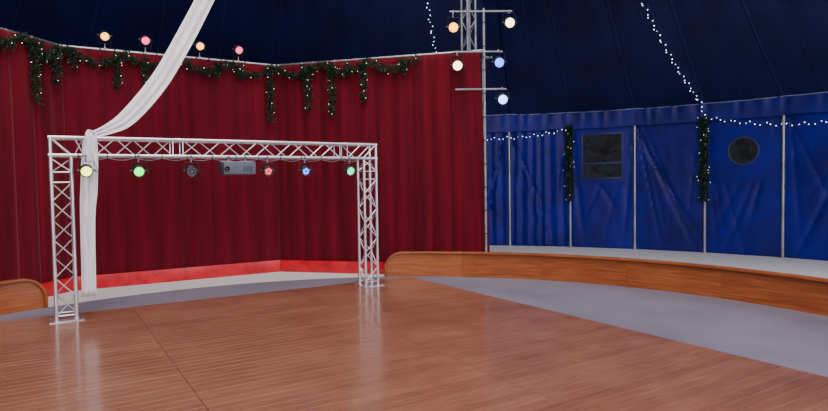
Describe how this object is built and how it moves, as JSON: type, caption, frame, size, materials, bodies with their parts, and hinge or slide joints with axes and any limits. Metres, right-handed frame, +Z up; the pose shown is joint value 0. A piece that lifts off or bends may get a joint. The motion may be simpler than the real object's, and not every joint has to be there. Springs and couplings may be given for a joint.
{
  "type": "circus big top round end section with ring and curtain",
  "caption": "Rear round end of a circus big top, open to the front, with its ring, artists curtain, king poles, side wall, light rig and portal truss.",
  "frame": {"origin": "middle of the ring on the ground, at the underside of the ring mat", "axes": "+X to the right and +Y towards the back curtain, looking from the ring; +Z up"},
  "size_m": [29.112, 17.569, 9.2],
  "materials": {
    "wall_canvas": "coated canvas, satin",
    "roof_canvas": "coated canvas, satin",
    "galvanised_steel": "galvanised",
    "mast_paint": "white paint, worn",
    "rail_pipe": "grey white paint",
    "truss_aluminium": "bright drawn tube",
    "fence_plywood": "varnished",
    "floor_boards": "lacquered, worn",
    "ring_mat": "needle felt",
    "curtain_velvet": "velvet",
    "plinth_paint": "satin paint",
    "garland_leaf": "matt leaves",
    "drape_voile": "sheer voile",
    "lamp_black": "black powder coat",
    "light_wire": "matt cable",
    "window_pane": "mesh and welded band"
  },
  "bodies": {
    "tent": {"ring_mat": "ring_mat", "dance_floor": "floor_boards", "ring_fence_left_front": "fence_plywood", "ring_fence_left_back": "fence_plywood", "ring_fence_right_back": "fence_plywood", "ring_fence_right_front": "fence_plywood", "side_wall_left_front": "wall_canvas", "side_wall_left_back": "wall_canvas", "side_wall_right_back": "wall_canvas", "side_wall_right_front": "wall_canvas", "roof_left_front": "roof_canvas", "roof_left_back": "roof_canvas", "roof_right_back": "roof_canvas", "roof_right_front": "roof_canvas", "side_poles_left_front": "galvanised_steel", "side_poles_left_back": "galvanised_steel", "side_poles_right_back": "galvanised_steel", "side_poles_right_front": "galvanised_steel", "wall_window_left": "window_pane", "wall_window_right": "window_pane", "wall_port_left": "window_pane", "wall_port_right": "window_pane", "king_pole_left": "mast_paint", "king_pole_right": "mast_paint", "ridge_cable": "galvanised_steel", "light_string_front_left": "light_wire", "light_string_front_right": "light_wire", "light_string_back_left": "light_wire", "light_string_back_right": "light_wire", "curtain_rail": "rail_pipe", "curtain_wing_left": "curtain_velvet", "curtain_back_left": "curtain_velvet", "curtain_back_right": "curtain_velvet", "curtain_wing_right": "curtain_velvet", "curtain_plinth": "plinth_paint", "rail_garland": "garland_leaf", "lamp_mast": "rail_pipe", "portal_leg_left": "truss_aluminium", "portal_leg_right": "truss_aluminium", "portal_beam": "truss_aluminium", "projector": "lamp_black", "drape_swag": "drape_voile"},
    "mast_lamp_1": {"mast_lamp_1": "lamp_black"},
    "mast_lamp_2": {"mast_lamp_2": "lamp_black"},
    "mast_lamp_3": {"mast_lamp_3": "lamp_black"},
    "mast_lamp_4": {"mast_lamp_4": "lamp_black"},
    "mast_lamp_5": {"mast_lamp_5": "lamp_black"},
    "rail_lamp_1": {"rail_lamp_1": "lamp_black"},
    "rail_lamp_2": {"rail_lamp_2": "lamp_black"},
    "rail_lamp_3": {"rail_lamp_3": "lamp_black"},
    "rail_lamp_4": {"rail_lamp_4": "lamp_black"},
    "portal_lamp_1": {"portal_lamp_1": "lamp_black"},
    "portal_lamp_2": {"portal_lamp_2": "lamp_black"},
    "portal_lamp_3": {"portal_lamp_3": "lamp_black"},
    "portal_lamp_4": {"portal_lamp_4": "lamp_black"},
    "portal_lamp_5": {"portal_lamp_5": "lamp_black"},
    "portal_lamp_6": {"portal_lamp_6": "lamp_black"}
  },
  "joints": [
    {"name": "mast_lamp_1_tilt", "type": "hinge", "parent": "tent", "child": "mast_lamp_1", "pos_m": [4.44713, 4.68154, 4.82], "axis": [0.866, -0.5, 0], "range_deg": [-60, 50]},
    {"name": "mast_lamp_2_tilt", "type": "hinge", "parent": "tent", "child": "mast_lamp_2", "pos_m": [5.37984, 4.14304, 4.9], "axis": [0.866, -0.5, 0], "range_deg": [-60, 50]},
    {"name": "mast_lamp_3_tilt", "type": "hinge", "parent": "tent", "child": "mast_lamp_3", "pos_m": [4.50602, 4.64754, 4.1], "axis": [0.866, -0.5, 0], "range_deg": [-60, 50]},
    {"name": "mast_lamp_4_tilt", "type": "hinge", "parent": "tent", "child": "mast_lamp_4", "pos_m": [5.19884, 4.24754, 4.15], "axis": [0.866, -0.5, 0], "range_deg": [-60, 50]},
    {"name": "mast_lamp_5_tilt", "type": "hinge", "parent": "tent", "child": "mast_lamp_5", "pos_m": [5.25167, 4.21704, 3.45], "axis": [0.866, -0.5, 0], "range_deg": [-60, 50]},
    {"name": "rail_lamp_1_tilt", "type": "hinge", "parent": "tent", "child": "rail_lamp_1", "pos_m": [-1.27, 7.75, 4.66], "axis": [1, 0, 0], "range_deg": [-60, 50]},
    {"name": "rail_lamp_2_tilt", "type": "hinge", "parent": "tent", "child": "rail_lamp_2", "pos_m": [-0.58, 7.75, 4.66], "axis": [1, 0, 0], "range_deg": [-60, 50]},
    {"name": "rail_lamp_3_tilt", "type": "hinge", "parent": "tent", "child": "rail_lamp_3", "pos_m": [0.42, 7.75, 4.66], "axis": [1, 0, 0], "range_deg": [-60, 50]},
    {"name": "rail_lamp_4_tilt", "type": "hinge", "parent": "tent", "child": "rail_lamp_4", "pos_m": [1.19, 7.75, 4.66], "axis": [1, 0, 0], "range_deg": [-60, 50]},
    {"name": "portal_lamp_1_tilt", "type": "hinge", "parent": "tent", "child": "portal_lamp_1", "pos_m": [-1.82, 4.45, 2.085], "axis": [1, 0, 0], "range_deg": [-60, 50]},
    {"name": "portal_lamp_2_tilt", "type": "hinge", "parent": "tent", "child": "portal_lamp_2", "pos_m": [-1.145, 4.67, 2.085], "axis": [1, 0, 0], "range_deg": [-60, 50]},
    {"name": "portal_lamp_3_tilt", "type": "hinge", "parent": "tent", "child": "portal_lamp_3", "pos_m": [-0.42, 4.67, 2.085], "axis": [1, 0, 0], "range_deg": [-60, 50]},
    {"name": "portal_lamp_4_tilt", "type": "hinge", "parent": "tent", "child": "portal_lamp_4", "pos_m": [0.75, 4.67, 2.085], "axis": [1, 0, 0], "range_deg": [-60, 50]},
    {"name": "portal_lamp_5_tilt", "type": "hinge", "parent": "tent", "child": "portal_lamp_5", "pos_m": [1.385, 4.67, 2.085], "axis": [1, 0, 0], "range_deg": [-60, 50]},
    {"name": "portal_lamp_6_tilt", "type": "hinge", "parent": "tent", "child": "portal_lamp_6", "pos_m": [2.2, 4.67, 2.085], "axis": [1, 0, 0], "range_deg": [-60, 50]}
  ]
}
